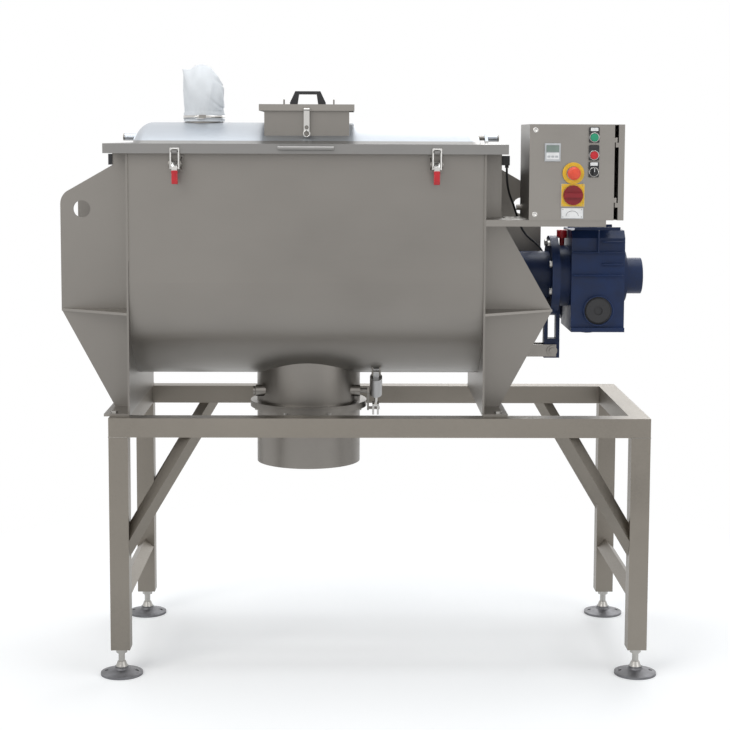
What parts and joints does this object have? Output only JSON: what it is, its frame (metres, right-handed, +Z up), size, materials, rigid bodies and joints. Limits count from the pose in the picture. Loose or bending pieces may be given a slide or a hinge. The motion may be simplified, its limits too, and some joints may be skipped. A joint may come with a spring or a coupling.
{
  "type": "ribbon blender",
  "caption": "Ribbon blender: U-shaped steel tank with hinged domed lid and feed port on a square-tube stand, double ribbon agitator, side gear motor, flap outlet valve and control box.",
  "frame": {"origin": "on the floor, in the middle of the four levelling feet", "axes": "+X towards the gear motor and the control box, +Y to the back where the lid hinges, +Z up"},
  "size_m": [1.889, 0.8598, 1.921],
  "materials": {
    "stainless": "brushed",
    "frame_steel": "brushed",
    "blue_paint": "satin",
    "black_plastic": "matte",
    "red_plastic": "satin",
    "green_plastic": "satin",
    "grey_plastic": "matte",
    "white_cloth": "matte",
    "bolt_steel": "satin",
    "seal_rubber": "matte",
    "black_rubber": "matte",
    "bright_rod": "polished",
    "cast_body": "satin",
    "light_metal": "satin"
  },
  "bodies": {
    "stand": {"stand_legs": "frame_steel", "foot_spindles": "bolt_steel", "foot_pads": "stainless", "stand_top_frame": "frame_steel", "stand_braces": "frame_steel", "trough_shell": "stainless", "end_plate_left": "stainless", "end_plate_right": "stainless", "side_wings": "stainless", "tank_gussets": "stainless", "shaft_seals": "stainless", "bearing_housing": "cast_body", "hinge_brackets": "stainless", "clamp_bases": "stainless", "drive_lantern": "stainless", "gear_case": "blue_paint", "gear_cover": "black_rubber", "gear_breather": "red_plastic", "motor_housing": "blue_paint", "fan_cowl": "blue_paint", "torque_arm": "blue_paint", "torque_anchor": "stainless", "outlet_pipe": "stainless", "outlet_spout": "stainless", "machine_bolts": "bolt_steel", "control_shelf": "stainless", "control_box": "stainless", "lid_switch": "black_plastic", "switch_cable": "black_rubber"},
    "agitator": {"agitator_shaft": "stainless", "agitator_spokes": "stainless", "outer_ribbons": "stainless", "inner_ribbons": "stainless"},
    "fan": {"motor_fan": "black_plastic"},
    "lid": {"lid_shell": "stainless", "lid_gasket": "seal_rubber", "feed_port": "stainless", "bag_collar": "stainless", "dust_bag": "white_cloth"},
    "feed_lid": {"port_lid": "stainless", "port_handle": "black_plastic"},
    "feed_latch": {"port_latch": "stainless"},
    "lever_left": {"clamp_lever_left": "red_plastic"},
    "lever_right": {"clamp_lever_right": "red_plastic"},
    "bail_left": {"clamp_bail_left": "bright_rod"},
    "bail_right": {"clamp_bail_right": "bright_rod"},
    "spring_tubes": {"gas_cylinders": "cast_body"},
    "spring_rods": {"gas_rods": "bright_rod"},
    "valve": {"valve_flap": "stainless", "valve_shaft": "stainless"},
    "air_barrel": {"cylinder_barrel": "light_metal"},
    "air_rod": {"cylinder_rod": "bright_rod"},
    "door": {"control_door": "stainless", "panel_fittings": "grey_plastic"},
    "start_button": {"green_button": "green_plastic"},
    "stop_button": {"red_button": "red_plastic"},
    "selector": {"selector_knob": "black_plastic"},
    "emergency_stop": {"estop_head": "red_plastic"},
    "main_switch": {"main_switch_knob": "red_plastic"}
  },
  "joints": [
    {"name": "agitator_turn", "type": "hinge", "parent": "stand", "child": "agitator", "pos_m": [-0.23, 0, 1.236], "axis": [1, 0, 0], "continuous": true},
    {"name": "fan_turn", "type": "hinge", "parent": "stand", "child": "fan", "pos_m": [0.707, 0.39, 1.132], "axis": [0, 1, 0], "continuous": true},
    {"name": "lid_hinge", "type": "hinge", "parent": "stand", "child": "lid", "pos_m": [-0.23, 0.392, 1.684], "axis": [-1, 0, 0], "range_deg": [0, 75]},
    {"name": "spring_swing", "type": "hinge", "parent": "stand", "child": "spring_tubes", "pos_m": [-0.23, 0.21, 1.36], "axis": [-1, 0, 0], "range_deg": [0, 2.2]},
    {"name": "spring_stroke", "type": "slide", "parent": "spring_tubes", "child": "spring_rods", "axis": [0, 0.1509, 0.9885], "range_m": [0, 0.188]},
    {"name": "feed_lid_hinge", "type": "hinge", "parent": "lid", "child": "feed_lid", "pos_m": [-0.23, 0.066, 1.778], "axis": [-1, 0, 0], "range_deg": [0, 110]},
    {"name": "feed_latch_hinge", "type": "hinge", "parent": "feed_lid", "child": "feed_latch", "pos_m": [-0.23, -0.281, 1.772], "axis": [-1, 0, 0], "range_deg": [0, 110]},
    {"name": "lever_left_hinge", "type": "hinge", "parent": "stand", "child": "lever_left", "pos_m": [-0.63, -0.362, 1.605], "axis": [-1, 0, 0], "range_deg": [0, 110]},
    {"name": "bail_left_hinge", "type": "hinge", "parent": "lever_left", "child": "bail_left", "pos_m": [-0.63, -0.374, 1.592], "axis": [-1, 0, 0], "range_deg": [-145, 0]},
    {"name": "lever_right_hinge", "type": "hinge", "parent": "stand", "child": "lever_right", "pos_m": [0.17, -0.362, 1.605], "axis": [-1, 0, 0], "range_deg": [0, 110]},
    {"name": "bail_right_hinge", "type": "hinge", "parent": "lever_right", "child": "bail_right", "pos_m": [0.17, -0.374, 1.592], "axis": [-1, 0, 0], "range_deg": [-145, 0]},
    {"name": "valve_hinge", "type": "hinge", "parent": "stand", "child": "valve", "pos_m": [-0.23, -0.081, 0.864], "axis": [-1, 0, 0], "range_deg": [0, 80]},
    {"name": "air_swing", "type": "hinge", "parent": "stand", "child": "air_barrel", "pos_m": [-0.009, -0.131, 0.929], "axis": [-1, 0, 0], "range_deg": [0, 38.6]},
    {"name": "air_stroke", "type": "slide", "parent": "air_barrel", "child": "air_rod", "axis": [0, 0.5889, -0.8082], "range_m": [-0.0405, 0]},
    {"name": "door_hinge", "type": "hinge", "parent": "stand", "child": "door", "pos_m": [0.7245, -0.326, 1.58], "axis": [0, 0, 1], "range_deg": [0, 105]},
    {"name": "start_press", "type": "slide", "parent": "door", "child": "start_button", "axis": [0, 1, 0], "range_m": [0, 0.0025], "stiffness_N_per_m": 600, "springref_m": -0.002},
    {"name": "stop_press", "type": "slide", "parent": "door", "child": "stop_button", "axis": [0, 1, 0], "range_m": [0, 0.0025], "stiffness_N_per_m": 600, "springref_m": -0.002},
    {"name": "selector_turn", "type": "hinge", "parent": "door", "child": "selector", "pos_m": [0.655, -0.33, 1.583], "axis": [0, 1, 0], "range_deg": [-45, 45]},
    {"name": "emergency_press", "type": "slide", "parent": "door", "child": "emergency_stop", "axis": [0, 1, 0], "range_m": [0, 0.006], "stiffness_N_per_m": 800, "springref_m": -0.004},
    {"name": "main_switch_turn", "type": "hinge", "parent": "door", "child": "main_switch", "pos_m": [0.5915, -0.33, 1.5115], "axis": [0, 1, 0], "range_deg": [0, 90]}
  ],
  "couplings": [
    {"joint": "fan_turn", "follows": "agitator_turn", "ratio": -40},
    {"joint": "spring_swing", "follows": "lid_hinge", "ratio": 0.0293},
    {"joint": "spring_stroke", "follows": "lid_hinge", "m_per_rad": 0.1435},
    {"joint": "bail_left_hinge", "follows": "lever_left_hinge", "ratio": -1.318},
    {"joint": "bail_right_hinge", "follows": "lever_right_hinge", "ratio": -1.318},
    {"joint": "air_swing", "follows": "valve_hinge", "ratio": 0.481},
    {"joint": "air_stroke", "follows": "valve_hinge", "m_per_rad": -0.02865}
  ]
}
